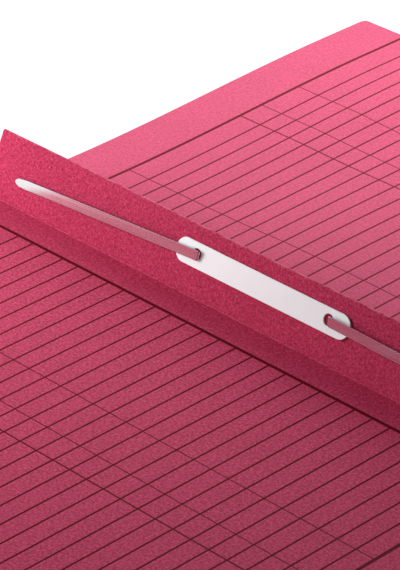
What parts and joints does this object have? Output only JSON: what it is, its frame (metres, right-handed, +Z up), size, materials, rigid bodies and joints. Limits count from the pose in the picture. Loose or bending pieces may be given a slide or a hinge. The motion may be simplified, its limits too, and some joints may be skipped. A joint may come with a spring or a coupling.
{
  "type": "court file folder",
  "caption": "Open card file folder with ruled inner leaves and a standing pleat that carries a strip fastener and a slotted cover plate",
  "frame": {"origin": "on the surface that the open folder lies on, under the middle of its spine", "axes": "+X runs along the spine from the top of the pages to their foot, +Y from the front cover to the back cover, +Z up"},
  "size_m": [0.35, 0.516, 0.029],
  "materials": {
    "card_back": "uncoated recycled card, mottled, ruled in dark red ink",
    "card_front": "uncoated recycled card, mottled, ruled in dark red ink",
    "card_pleat": "uncoated recycled card, mottled, unprinted",
    "tin_base": "tin-plated steel strip",
    "tin_prong": "bright tin-plated steel strip",
    "plate_plastic": "smooth white plastic"
  },
  "bodies": {
    "back_leaf": {"back_cover": "card_back"},
    "front_leaf": {"front_cover": "card_front"},
    "pleat": {"spine_pleat": "card_pleat", "fastener_base": "tin_base"},
    "left_prong": {"prong_left": "tin_prong"},
    "right_prong": {"prong_right": "tin_prong"},
    "plate": {"cover_plate": "plate_plastic"}
  },
  "joints": [
    {"name": "pleat_fold", "type": "hinge", "parent": "back_leaf", "child": "pleat", "pos_m": [0, 0.00067, 0.00075], "axis": [-1, 0, 0], "range_deg": [0, 61]},
    {"name": "front_cover_fold", "type": "hinge", "parent": "pleat", "child": "front_leaf", "pos_m": [0, -0.00136, 0.00085], "axis": [-1, 0, 0], "range_deg": [0, 102]},
    {"name": "left_prong_bend", "type": "hinge", "parent": "pleat", "child": "left_prong", "pos_m": [-0.04, 0.00419, 0.01885], "axis": [-0.0645, 0.4059, 0.9116], "range_deg": [0, 181]},
    {"name": "right_prong_bend", "type": "hinge", "parent": "pleat", "child": "right_prong", "pos_m": [0.04, 0.00346, 0.01918], "axis": [-0.0262, -0.4066, -0.9132], "range_deg": [0, 181.4]},
    {"name": "plate_play", "type": "slide", "parent": "pleat", "child": "plate", "axis": [0, -0.9135, 0.4067], "range_m": [0, 0.0007]}
  ],
  "couplings": [
    {"joint": "pleat_fold", "follows": "front_cover_fold", "ratio": 0.598}
  ]
}
